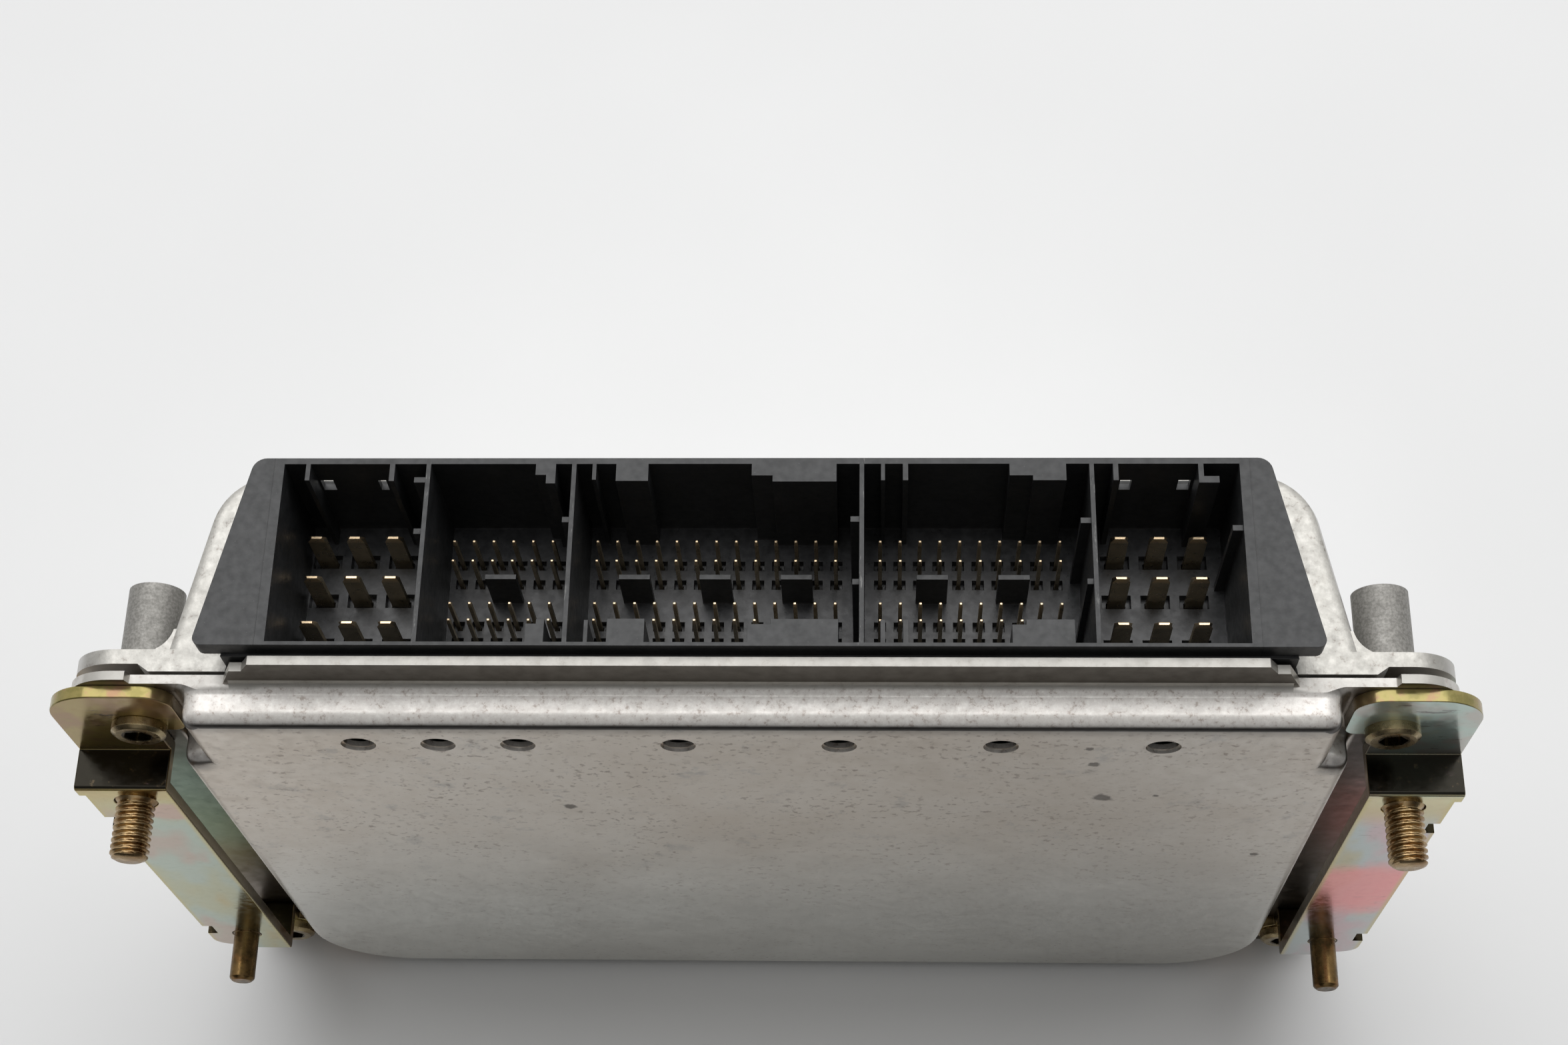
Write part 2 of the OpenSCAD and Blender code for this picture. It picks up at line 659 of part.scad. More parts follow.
module capacitors() {
    color("#3a4a68") for (spot = [[-0.84, 0.236], [-0.84, 0.377], [-0.65, 0.377]])
        rod(across(spot[0]), along(spot[1]), board_y, board_y + cap_h, cap_d);
}

module inductors() {
    color("#4b4038") for (f = [-0.25, 0.05]) translate([across(f) - coil_w / 2, board_y, along(0.11)])
        cube([coil_w, coil_w * 0.58, coil_w]);
}

module chip_resistors() {
    color("#1f1f1f") for (i = [0 : 17], f = [0.56, 0.588])
        translate([across(-0.81 + i * 0.094), board_y, along(f)]) cube([2, 0.6, 1.2]);
}

// Corner of the bent plate with its outer edge rounded, in Y and Z
module corner(y, z, to_y, to_z) {
    t = bracket_t;
    r = bend_r;
    translate([y + (to_y < 0 ? r : 0), z]) square([t - r, t]);
    translate([y, z + (to_z < 0 ? r : 0)]) square([t, t - r]);
    translate([y + (to_y < 0 ? r : t - r), z + (to_z < 0 ? r : t - r)]) circle(r);
}

// Side view of the bracket's bent plate, in Y and Z
module bracket_side() {
    t = bracket_t;
    rise = tab_face_y - strip_back_y;
    low_z = step_z - t;
    translate([tab_face_y, step_z]) square([t, lid_l - step_z]);
    corner(tab_face_y, low_z, 1, -1);
    translate([strip_back_y, low_z]) square([rise, t]);
    corner(strip_face_y, low_z, -1, 1);
    translate([strip_face_y, rear_step_z + t]) square([t, low_z - rear_step_z - t]);
    corner(strip_face_y, rear_step_z, -1, -1);
    translate([strip_back_y, rear_step_z]) square([rise, t]);
    corner(tab_face_y, rear_step_z, 1, 1);
    translate([tab_face_y, 0]) square([t, rear_step_z]);
}

// Front view of the right bracket, in X and Z
module bracket_front() {
    top = lid_l - tab_drop;
    neck_z = lid_l - 14;
    shoulder = step_z - bracket_t - 1;
    out_r = 8;
    in_r = 4.5;
    low_r = 2;
    notch_w = 1.8;
    notch_h = 4.4;
    end_r = 3.6;
    difference() {
        union() {
            translate([tab_in_x + in_r, neck_z])
                square([bracket_out_x - out_r - tab_in_x - in_r, top - neck_z]);
            translate([tab_in_x, neck_z + low_r]) square([in_r + eps, top - in_r - neck_z - low_r]);
            translate([tab_in_x + in_r, top - in_r]) circle(in_r);
            translate([tab_in_x + low_r, neck_z + low_r]) circle(low_r);
            translate([tab_in_x + low_r, neck_z]) square([in_r, low_r + 1]);
            translate([bracket_out_x - out_r, top - out_r]) circle(out_r);
            translate([strip_in_x, shoulder]) square([bracket_out_x - strip_in_x, top - out_r - shoulder]);
            translate([strip_in_x, strip_end_z + end_r])
                square([strip_out_x - strip_in_x, shoulder - strip_end_z - end_r + eps]);
            translate([strip_in_x, strip_end_z]) square([strip_out_x - strip_in_x - end_r, end_r + eps]);
            translate([strip_out_x - end_r, strip_end_z + end_r]) circle(end_r);
            translate([strip_in_x, screw_z[0]]) square([rear_out_x - strip_in_x, strip_end_z - screw_z[0] + 1]);
            translate([screw_x, screw_z[0]]) circle(rear_tab_r);
        }
        for (z = [stud_z - 9.6, peg_z + 2.6]) translate([strip_out_x - notch_w, z - notch_h / 2])
            square([notch_w + 2, notch_h]);
    }
}

module bracket_plate() {
    difference() {
        intersection() {
            bar(tab_in_x - 20, bracket_out_x - tab_in_x + 30) bracket_side();
            slab(strip_face_y - 1, bracket_step + bracket_t + 2) bracket_front();
        }
        for (z = screw_z) rod(screw_x, z, tab_face_y - 1, base_front_y + 1, screw_d + 2 * fit_gap);
        rod(stud_x, stud_z, strip_face_y - 1, strip_back_y + 1, stud_d + 2 * (collar_t + fit_gap));
        rod(stud_x, peg_z, strip_face_y - 1, strip_back_y + 1, peg_d + 2 * (collar_t + fit_gap));
    }
}

module bracket_right() color("#b9b39a") bracket_plate();
module bracket_left() color("#c2b98e") mirror([1, 0, 0]) bracket_plate();

// A pressed-in stud: head behind the strip, collar in its hole, chamfered free end
module pressed_stud(side, z, d, length) {
    chamfer = d * 0.12;
    x = side * stud_x;
    rod(x, z, strip_back_y, strip_back_y + stud_head_h, stud_head_d);
    rod(x, z, strip_face_y, strip_back_y + eps, d + 2 * collar_t);
    rod(x, z, strip_face_y - length + chamfer, strip_face_y + eps, d);
    translate([x, strip_face_y - length + chamfer, z]) rotate([90, 0, 0])
        cylinder(d1 = d, d2 = d - 2 * chamfer, h = chamfer);
}

module mounting_stud_left() color("#8f7c52") pressed_stud(-1, stud_z, stud_d, stud_l);
module mounting_stud_right() color("#8f7c52") pressed_stud(1, stud_z, stud_d, stud_l);
module locating_pin_left() color("#8f7c52") pressed_stud(-1, peg_z, peg_d, peg_l);
module locating_pin_right() color("#8f7c52") pressed_stud(1, peg_z, peg_d, peg_l);

// A low-head screw along Y with a hexagon socket, its head resting on a face
module casing_screw(x, z, face_y) {
    rim_h = screw_head_h * 0.72;
    top_y = face_y - screw_head_h;
    difference() {
        union() {
            rod(x, z, face_y - rim_h, face_y, screw_head_d);
            translate([x, face_y - rim_h, z]) rotate([90, 0, 0])
                cylinder(d1 = screw_head_d, d2 = screw_head_d * 0.83, h = screw_head_h - rim_h);
            rod(x, z, face_y - eps, boss_h - 3, screw_d);
        }
        slab(top_y - 1, 1 + screw_head_h * 0.8) polygon([for (i = [0 : 5])
            [x + hex_d / 2 * cos(60 * i + 10), z + hex_d / 2 * sin(60 * i + 10)]]);
    }
}

module bracket_screw_left() color("#8a7a5a") casing_screw(-screw_x, screw_z[1], tab_face_y);
module bracket_screw_right() color("#8a7a5a") casing_screw(screw_x, screw_z[1], tab_face_y);
module rear_screw_left() color("#8a7a5a") casing_screw(-screw_x, screw_z[0], tab_face_y);
module rear_screw_right() color("#8a7a5a") casing_screw(screw_x, screw_z[0], tab_face_y);

case_frame() {
    lid();
    base_pan();
    housing_seal();
    connector_housing();
    connector_seal();
    power_tabs_left();
    pins_24_way();
    pins_52_way();
    pins_40_way();
    power_tabs_right();
    circuit_board();
    board_screws();
    microcontroller();
    memory_chip();
    crystal();
    driver_chips();
    ignition_drivers();
    capacitors();
    inductors();
    regulator();
    chip_resistors();
    bracket_left();
    bracket_right();
    mounting_stud_left();
    mounting_stud_right();
    locating_pin_left();
    locating_pin_right();
    bracket_screw_left();
    bracket_screw_right();
    rear_screw_left();
    rear_screw_right();
}
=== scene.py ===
"""Looks of an engine control unit: satin aluminium casing, black header, zinc-plated brackets."""
import json
import math

import bmesh
import bpy
from mathutils import Matrix, Vector


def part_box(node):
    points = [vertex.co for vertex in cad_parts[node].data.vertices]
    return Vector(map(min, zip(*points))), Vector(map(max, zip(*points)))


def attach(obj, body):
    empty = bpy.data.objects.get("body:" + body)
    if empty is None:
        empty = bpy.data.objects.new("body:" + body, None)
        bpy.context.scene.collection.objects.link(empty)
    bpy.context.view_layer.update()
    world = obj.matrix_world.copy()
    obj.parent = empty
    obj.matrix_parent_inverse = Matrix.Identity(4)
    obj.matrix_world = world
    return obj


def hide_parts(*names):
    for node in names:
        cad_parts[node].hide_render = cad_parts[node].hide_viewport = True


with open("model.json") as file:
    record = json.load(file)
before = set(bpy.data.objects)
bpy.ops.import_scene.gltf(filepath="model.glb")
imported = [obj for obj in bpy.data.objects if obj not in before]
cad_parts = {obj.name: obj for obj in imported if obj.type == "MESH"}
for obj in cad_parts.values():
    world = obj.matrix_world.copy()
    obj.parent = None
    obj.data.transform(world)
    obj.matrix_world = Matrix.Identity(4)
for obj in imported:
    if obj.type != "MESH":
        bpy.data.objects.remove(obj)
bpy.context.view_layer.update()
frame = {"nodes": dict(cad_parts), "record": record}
scene = bpy.context.scene
scene.view_settings.view_transform = "Standard"

MM = 0.001
X, Y, Z = 0, 1, 2
SIDES = (("left", -1), ("right", 1))


def low_end(node, axis):
    """Lowest coordinate of a CAD node along an axis, in mm."""
    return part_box(node)[0][axis] / MM


def high_end(node, axis):
    """Highest coordinate of a CAD node along an axis, in mm."""
    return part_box(node)[1][axis] / MM


# Places in mm, worked out from the frame
PAN_FACE = low_end("base_pan", Y)
LID_FRONT = high_end("lid", Z)
RIM = high_end("connector_housing", Z)
CONTACT_TIP = high_end("pins_24_way", Z)
STRIP_FACE = low_end("bracket_left", Y)
STUD_TIP = low_end("mounting_stud_left", Y)
STUDS = next(mount for mount in frame["record"]["mounts"] if mount["name"] == "studs")
STUD_X = STUDS["dims"]["spacing_x_mm"] / 2
STUD_Z = STUDS["pos_m"][Z] / MM

# Height just under the step between a bracket's strip and its tab, and the strip's middle line
STEP = 106.0
STRIP_MIDDLE = 98.2
# Middle of the painted shade in the screws' hexagon sockets: distance from the middle plane, and heights
SOCKET_X = 93.55
SOCKET_HEIGHTS = (119.3, 12)
# Middle of the painted shade in the scoop at each front corner of the pan, and of the orange-brown tint at
# each rear corner
SCOOP = (86.3, -12.2, 113.8)
REAR_TINT = (85, -12, 1)
# Dark marks on the pan and its bead: place and reach
MARKS = (((52.2, PAN_FACE, 99.8), 1.9), ((49.8, PAN_FACE, 114.7), 1.1), ((79.5, PAN_FACE, 71.7), 0.9),
         ((60.4, PAN_FACE, 100.7), 0.6), ((48.6, PAN_FACE, 121.3), 0.8), ((-31, PAN_FACE, 94.3), 1.2),
         ((51.9, -10.6, 130.6), 0.9))
# Header: the dividers between its sockets, and a seam line and a dark spot on its rim
DIVIDERS = (-48.8, -27.2, 15.2, 48.8)
SEAM_X = 71.9
RIM_SPOT = (78.3, -3.4, RIM)

# Film colours of the zinc, as stops of a ramp, and one stronger patch: place in X and Z, reach, colour
LEFT_TAB = [(0.30, (0.42, 0.26, 0.06)), (0.45, (0.49, 0.36, 0.11)), (0.60, (0.44, 0.27, 0.12)),
            (0.72, (0.41, 0.31, 0.09))]
LEFT_STRIP = [(0.28, (0.50, 0.41, 0.19)), (0.40, (0.47, 0.48, 0.32)), (0.52, (0.44, 0.51, 0.43)),
              (0.62, (0.50, 0.41, 0.34)), (0.74, (0.48, 0.50, 0.38))]
LEFT_PATCH = ((-93.8, 98), 5, (0.55, 0.38, 0.31))
RIGHT_TAB = [(0.30, (0.70, 0.68, 0.42)), (0.45, (0.66, 0.81, 0.73)), (0.60, (0.70, 0.68, 0.62)),
             (0.72, (0.63, 0.80, 0.75))]
RIGHT_STRIP = [(0.28, (0.47, 0.43, 0.27)), (0.40, (0.45, 0.51, 0.50)), (0.54, (0.57, 0.41, 0.43)),
               (0.64, (0.48, 0.50, 0.49)), (0.76, (0.45, 0.51, 0.42))]
RIGHT_PATCH = ((97.6, 60), 17, (0.84, 0.29, 0.28))

# Camera, solved from the header's pin grid
IMAGE_W = 2352
FOCAL_PX = 3612.6
SENSOR_MM = 36
CLIP_START = 0.01
CAMERA_AT = Vector((16.92, -137.95, 455.79)) * MM
CAMERA_PITCH = math.radians(64.32)
CAMERA_YAW = math.radians(-4.92)
CAMERA_ROLL = math.radians(4.42)

# Light and floor: levels of the surroundings, half width of the floor in m, where its paper ends in mm
BACK_LEVEL = 1.0
FRONT_LEVEL = 0.05
CARD_LEVEL = 0.65
FLOOR_HALF = 3.0
PAPER_END = -165
PAPER_FADE = 25

# Edges: from which angle in degrees an edge is sharp, below which two faces become one,
# how near two points are joined, and how much large faces steer the shading
EDGE_ANGLE = 32
TURNED_ANGLE = 40
FLAT_ANGLE = 0.4
WELD_MM = 0.001
FLAT_WEIGHT = 100

# Mounting stud, in mm: rings of (place, radius), from the strip's back, its face and the stud's tip,
# then the thread and the cone that ends it
STRIP_THICK = 2.0
HEAD_RINGS = ((1.4, 4.3), (1.2, 4.5), (0.0, 4.5), (0.0, 3.3))
NECK_RINGS = ((0.25, 3.3), (-0.3, 2.6))
END_RINGS = ((0.1, 2.3), (0.0, 2.15))
THREAD_PITCH = 1.0
THREAD_CREST = 3.0
THREAD_ROOT = 2.45
THREAD_START = 0.5
THREAD_RUN = 8.6
THREAD_RINGS = 96
ROOT_SHARE = 0.12
FLANK_SHARE = 0.26
CONE_RADIUS = 2.5
CONE_SLOPE = 0.75
TURNED_SIDES = 48

# Contact tips: height of the band that is narrowed, the share of its width that is left,
# and how near in Y two points belong to one row
TIP_BAND = 0.1
TIP_SHARE = 0.55
ROW_REACH = 0.6
# Half widths of the power contacts and the square pins
TAB_HALF = 1.4
PIN_HALF = 0.32


def make_camera():
    """Camera of the photo: it looks down on the front of the unit, a little turned and rolled."""
    flat = math.cos(CAMERA_PITCH)
    forward = Vector((math.sin(CAMERA_YAW) * flat, math.cos(CAMERA_YAW) * flat, -math.sin(CAMERA_PITCH)))
    level = Vector((math.cos(CAMERA_YAW), -math.sin(CAMERA_YAW), 0))
    down = forward.cross(level)
    right = level * math.cos(CAMERA_ROLL) + down * math.sin(CAMERA_ROLL)
    up = level * math.sin(CAMERA_ROLL) - down * math.cos(CAMERA_ROLL)
    data = bpy.data.cameras.new("camera")
    data.sensor_width = SENSOR_MM
    data.lens = SENSOR_MM * FOCAL_PX / IMAGE_W
    data.clip_start = CLIP_START
    camera = bpy.data.objects.new("camera", data)
    scene.collection.objects.link(camera)
    turn = Matrix((right, up, -forward)).transposed().to_4x4()
    camera.matrix_world = Matrix.Translation(CAMERA_AT) @ turn
    scene.camera = camera


class Nodes:
    """A node tree under construction, with short calls for the nodes it needs."""

    def __init__(self, tree):
        self.tree = tree

    def add(self, kind, inputs=None, **props):
        """A new node: its properties by name, its inputs by name or number, each a link or a value."""
        node = self.tree.nodes.new("ShaderNode" + kind)
        for key, value in props.items():
            setattr(node, key, value)
        for key, value in (inputs or {}).items():
            if isinstance(value, bpy.types.NodeSocket):
                self.tree.links.new(value, node.inputs[key])
            else:
                node.inputs[key].default_value = value
        return node

    def math(self, kind, a, b=0.0):
        return self.add("Math", {0: a, 1: b}, operation=kind).outputs[0]

    def absolute(self, value):
        return self.math("ABSOLUTE", value)

    def times(self, product, *others):
        """Product of masks and weights."""
        for other in others:
            product = self.math("MULTIPLY", product, other)
        return product

    def span(self, value, low, high, to_low=0.0, to_high=1.0):
        """Smooth step from one level to another while a value goes from low to high."""
        return self.add("MapRange", {"Value": value, "From Min": low, "From Max": high, "To Min": to_low,
                                     "To Max": to_high}, interpolation_type="SMOOTHSTEP").outputs[0]


class Shader(Nodes):
    """A material under construction, whose masks follow places in the frame."""

    def __init__(self, name, **sockets):
        self.material = bpy.data.materials.new(name)
        self.material.use_nodes = True
        super().__init__(self.material.node_tree)
        self.surface = self.tree.nodes["Principled BSDF"]
        self.place = self.add("TexCoord").outputs["Object"]
        for socket, value in sockets.items():
            self.surface.inputs[socket].default_value = value

    def scaled(self, per_mm, stretch, shift=0.0):
        """Coordinates with a given number of units in a millimetre."""
        scale = tuple(s * per_mm / MM for s in stretch)
        return self.add("Mapping", {"Vector": self.place, "Scale": scale,
                                    "Location": (shift, shift, shift)}).outputs[0]

    def noise(self, per_mm, detail=4.0, rough=0.55, stretch=(1, 1, 1), shift=0.0):
        """Noise between 0 and 1 with a given number of bumps in a millimetre."""
        return self.add("TexNoise", {"Vector": self.scaled(per_mm, stretch, shift), "Scale": 1.0,
                                     "Detail": detail, "Roughness": rough}).outputs["Fac"]

    def cells(self, per_mm, stretch=(1, 1, 1)):
        """Distance from scattered points, with a given number of points in a millimetre."""
        return self.add("TexVoronoi", {"Vector": self.scaled(per_mm, stretch),
                                       "Scale": 1.0}).outputs["Distance"]

    def ramp(self, value, stops):
        """Colour that runs through stops of (value, colour)."""
        node = self.add("ValToRGB", {"Fac": value})
        node.color_ramp.interpolation = "EASE"
        while len(node.color_ramp.elements) < len(stops):
            node.color_ramp.elements.new(0.5)
        for element, (at, colour) in zip(node.color_ramp.elements, stops):
            element.position = at
            element.color = (*colour, 1)
        return node.outputs["Color"]

    def mix(self, mask, under, over):
        """One colour, with another over it where a mask is; the node's colours are inputs 6 and 7."""
        under, over = [c if isinstance(c, bpy.types.NodeSocket) else (*c, 1) for c in (under, over)]
        return self.add("Mix", {0: mask, 6: under, 7: over}, data_type="RGBA").outputs[2]

    def stain(self, tone, mask, weight, colour):
        """A tone with a colour laid over it where a mask is, at a weight."""
        return self.mix(self.times(mask, weight), tone, colour)

    def axis(self, index):
        return self.add("SeparateXYZ", {"Vector": self.place}).outputs[index]

    def facing(self, index):
        """Component of the surface normal along a frame axis."""
        return self.add("SeparateXYZ", {"Vector": self.add("NewGeometry").outputs["Normal"]}).outputs[index]

    def faces(self, index, low, high):
        """Mask by how far the surface faces along a frame axis."""
        return self.span(self.facing(index), low, high)

    def along(self, index, low, high, to_low=0.0, to_high=1.0):
        """Mask between two places along a frame axis, in mm."""
        return self.span(self.axis(index), low * MM, high * MM, to_low, to_high)

    def aside(self, low, high):
        """Mask by the distance from the middle plane, alike on both sides, in mm."""
        return self.span(self.absolute(self.axis(X)), low * MM, high * MM)

    def apart(self, value, middle, low, high):
        """Mask by the distance of a coordinate from a middle, in mm."""
        gap = self.absolute(self.math("SUBTRACT", value, middle * MM))
        return self.span(gap, low * MM, high * MM)

    def away(self, place, point):
        """Distance of a place from a point that is given in mm."""
        at = tuple(a * MM for a in point)
        return self.add("VectorMath", {0: place, 1: at}, operation="DISTANCE").outputs["Value"]

    def spot(self, point, reach, ragged):
        """Mask around a point in mm: 1 inside, fading unevenly towards its reach."""
        wander = self.math("SUBTRACT", self.noise(1.2 / reach, 4, shift=6.0), 0.5)
        wander = self.times(wander, 2 * ragged * reach * MM)
        away = self.math("ADD", self.away(self.place, point), wander)
        return self.span(away, reach * MM, reach * 0.55 * MM)

    def set(self, socket, value):
        self.tree.links.new(value, self.surface.inputs[socket])

    def bump(self, height, mm):
        """Relief of a given depth, on top of any relief that is there."""
        node = self.add("Bump", {"Height": height, "Distance": mm * MM})
        normal = self.surface.inputs["Normal"]
        if normal.is_linked:
            self.tree.links.new(normal.links[0].from_socket, node.inputs["Normal"])
        self.tree.links.new(node.outputs[0], normal)


def sheet_tone(s):
    """Cool sheet, warmer towards the front and darker to the right, with grime, blotches and flecks."""
    front = s.along(Z, 30, 95)
    cloud = s.noise(0.035, 3)
    cool = s.ramp(cloud, [(0.3, (0.70, 0.69, 0.65)), (0.7, (0.78, 0.775, 0.735))])
    warm = s.ramp(cloud, [(0.3, (0.68, 0.61, 0.53)), (0.7, (0.77, 0.715, 0.645))])
    tone = s.mix(front, cool, warm)
    tone = s.mix(s.along(X, -20, 75, 0.0, 0.30), tone, (0.36, 0.345, 0.32))
    grime = s.span(s.noise(0.32, 6, 0.7, shift=3.0), 0.58, 0.74)
    tone = s.stain(tone, grime, 0.30, (0.42, 0.37, 0.31))
    blotch = s.span(s.noise(0.13, 6, 0.7, shift=11.0), 0.56, 0.70)
    tone = s.stain(tone, s.times(blotch, front), 0.42, (0.34, 0.34, 0.34))
    fleck = s.span(s.noise(0.9, 3, 0.6, (0.85, 1, 1), shift=9.0), 0.555, 0.67)
    crowd = s.span(s.noise(0.07, 3, shift=5.0), 0.38, 0.62, 0.25, 1.0)
    tone = s.mix(s.times(fleck, crowd, s.along(Z, 20, 90, 0.20, 0.56)), tone, (0.22, 0.16, 0.13))
    specks = s.span(s.cells(0.75, (0.7, 1, 1)), 0.17, 0.07)
    some = s.span(s.noise(0.8, 2, shift=9.0), 0.50, 0.58)
    return s.stain(tone, s.times(specks, some), 0.4, (0.16, 0.12, 0.10))


def sheet_marks(s, tone):
    """Dark marks on the pan, and an orange-brown tint at its rear corners."""
    for point, reach in MARKS:
        tone = s.stain(tone, s.spot(point, reach, 0.7), 0.8, (0.10, 0.085, 0.07))
    for _, sign in SIDES:
        corner = s.spot((sign * REAR_TINT[X], REAR_TINT[Y], REAR_TINT[Z]), 8, 0.9)
        tone = s.stain(tone, corner, 0.85, (0.40, 0.19, 0.06))
    return tone


def sheet_front(s, tone):
    """Painted shade at the end of the pan's face, in the crease at the bead and in the corner scoops, and a
    painted dark reflection on the lip.
    """
    # Painted shade: a darker band at the top of the pan's face, below the bead
    brow = s.times(s.along(Z, LID_FRONT - 5.4, LID_FRONT - 2.2), s.faces(Y, -0.9, -0.98))
    tone = s.stain(tone, brow, 0.5, (0.16, 0.15, 0.14))
    # Painted shade in the crease at the bead
    crease = s.times(s.faces(Z, 0.01, 0.07), s.faces(Z, 0.90, 0.42),
                     s.along(Z, LID_FRONT - 7, LID_FRONT - 4), s.along(Y, PAN_FACE + 2.6, PAN_FACE + 2.0))
    tone = s.stain(tone, crease, 0.92, (0.07, 0.066, 0.064))
    # Painted dark reflection on the lip's front face
    lip = s.times(s.faces(Y, -0.7, -0.95), s.along(Z, LID_FRONT, LID_FRONT + 1))
    tone = s.stain(tone, lip, 0.9, (0.10, 0.088, 0.07))
    # Painted shade in the corner scoops
    mirrored = s.add("CombineXYZ", {"X": s.absolute(s.axis(X)), "Y": s.axis(Y), "Z": s.axis(Z)}).outputs[0]
    scoops = s.span(s.away(mirrored, SCOOP), 5.2 * MM, 2.2 * MM, 0.0, 0.8)
    return s.mix(scoops, tone, (0.06, 0.054, 0.05))


def sheet_dust_and_highlight(s, tone, upper):
    """Pale dust on what faces up, and a painted highlight at the bead's root, duller in front of the lid and
    on the ears.
    """
    mottled_tone = s.ramp(s.noise(1.0, 5, 0.75, shift=1.0),
                   [(0.33, (0.48, 0.42, 0.38)), (0.47, (0.78, 0.75, 0.715)), (0.70, (0.92, 0.90, 0.86))])
    mottled_tone = s.mix(s.along(Z, LID_FRONT - 0.1, LID_FRONT + 0.3, 0.0, 0.8), mottled_tone, (0.37, 0.36, 0.33))
    ears = s.times(s.aside(72, 74), s.along(Y, PAN_FACE + 5.0, PAN_FACE + 5.3, 0.0, 0.55))
    mottled_tone = s.mix(ears, mottled_tone, (0.42, 0.41, 0.38))
    # Painted highlight: the pale coat on the bead's root fillet
    root = s.times(s.faces(Z, 0.03, 0.16), s.along(Y, PAN_FACE + 2.4, PAN_FACE + 3.2),
                   s.along(Z, LID_FRONT - 7, LID_FRONT - 5))
    tone = s.stain(tone, root, 0.9, mottled_tone)
    return s.stain(tone, upper, 0.9, mottled_tone)


def sheet_gap_shadow_and_reflection(s, tone):
    """Painted shadow on the sheet beside the brackets' strips, with painted reflections of their zinc, green
    on the left and brown on the right.
    """
    # Painted shadow and painted reflection of the brackets, beside their strips
    beside = s.times(s.aside(88.8, 89.6), s.faces(Y, -0.6, -0.9), s.along(Z, 119, 116))
    up = s.add("MapRange", {"Value": s.axis(Z), "From Min": 0.0, "From Max": 120 * MM}).outputs[0]
    green = s.ramp(up, [(0.24, (0.10, 0.055, 0.02)), (0.41, (0.24, 0.19, 0.07)), (0.52, (0.22, 0.30, 0.22)),
                        (0.78, (0.20, 0.30, 0.27)), (0.90, (0.04, 0.04, 0.035))])
    brown = s.ramp(up, [(0.2, (0.07, 0.045, 0.02)), (0.6, (0.12, 0.08, 0.05)), (0.9, (0.04, 0.035, 0.03))])
    return s.stain(tone, beside, 0.85, s.mix(s.along(X, -1, 1), green, brown))


def sheet_aluminium():
    """Satin sheet of the base pan."""
    s = Shader("sheet_aluminium", Metallic=1.0)
    upper = s.faces(Z, 0.38, 0.62)
    tone = sheet_marks(s, sheet_tone(s))
    tone = sheet_dust_and_highlight(s, sheet_front(s, tone), upper)
    s.set("Base Color", sheet_gap_shadow_and_reflection(s, tone))
    s.set("Metallic", s.span(upper, 0.0, 1.0, 1.0, 0.35))
    s.set("Roughness", s.span(s.noise(0.5, 5), 0.25, 0.8, 0.32, 0.48))
    s.bump(s.noise(1.6, 5, 0.6), 0.012)
    s.bump(s.noise(0.08, 2), 0.25)
    return s.material


def cast_aluminium():
    """Stained and pitted casting of the lid, with dust where it faces up, and grainy screw bosses."""
    s = Shader("cast_aluminium", Metallic=1.0)
    tone = s.ramp(s.noise(0.05, 3), [(0.3, (0.60, 0.59, 0.57)), (0.7, (0.69, 0.685, 0.665))])
    tone = s.mix(s.along(X, 55, 92, 0.0, 0.35), tone, (0.38, 0.37, 0.34))
    stained = s.span(s.noise(0.4, 6, 0.7, shift=5.0), 0.60, 0.75)
    tone = s.stain(tone, stained, 0.45, (0.33, 0.29, 0.25))
    pits = s.times(s.span(s.cells(0.9), 0.15, 0.05), s.span(s.noise(0.12, 3, shift=7.0), 0.5, 0.62))
    tone = s.stain(tone, pits, 0.7, (0.16, 0.11, 0.09))
    mottled_tone = s.ramp(s.noise(0.7, 5, 0.7, shift=1.0),
                   [(0.30, (0.20, 0.18, 0.16)), (0.44, (0.36, 0.35, 0.325)), (0.70, (0.45, 0.44, 0.41))])
    tone = s.stain(tone, s.faces(Z, 0.55, 0.9), 0.85, mottled_tone)
    boss = s.times(s.aside(88.9, 89.3), s.along(Y, -3.0, -2.6))
    grain = s.ramp(s.noise(2.4, 4, 0.6), [(0.30, (0.22, 0.215, 0.20)), (0.70, (0.40, 0.39, 0.37))])
    s.set("Base Color", s.stain(tone, boss, 0.85, grain))
    rough = s.span(s.noise(0.6, 5), 0.25, 0.8, 0.38, 0.54)
    s.set("Roughness", s.math("ADD", rough, s.times(boss, 0.22)))
    s.bump(s.noise(2.2, 5, 0.65), 0.03)
    s.bump(s.noise(0.15, 2), 0.12)
    return s.material


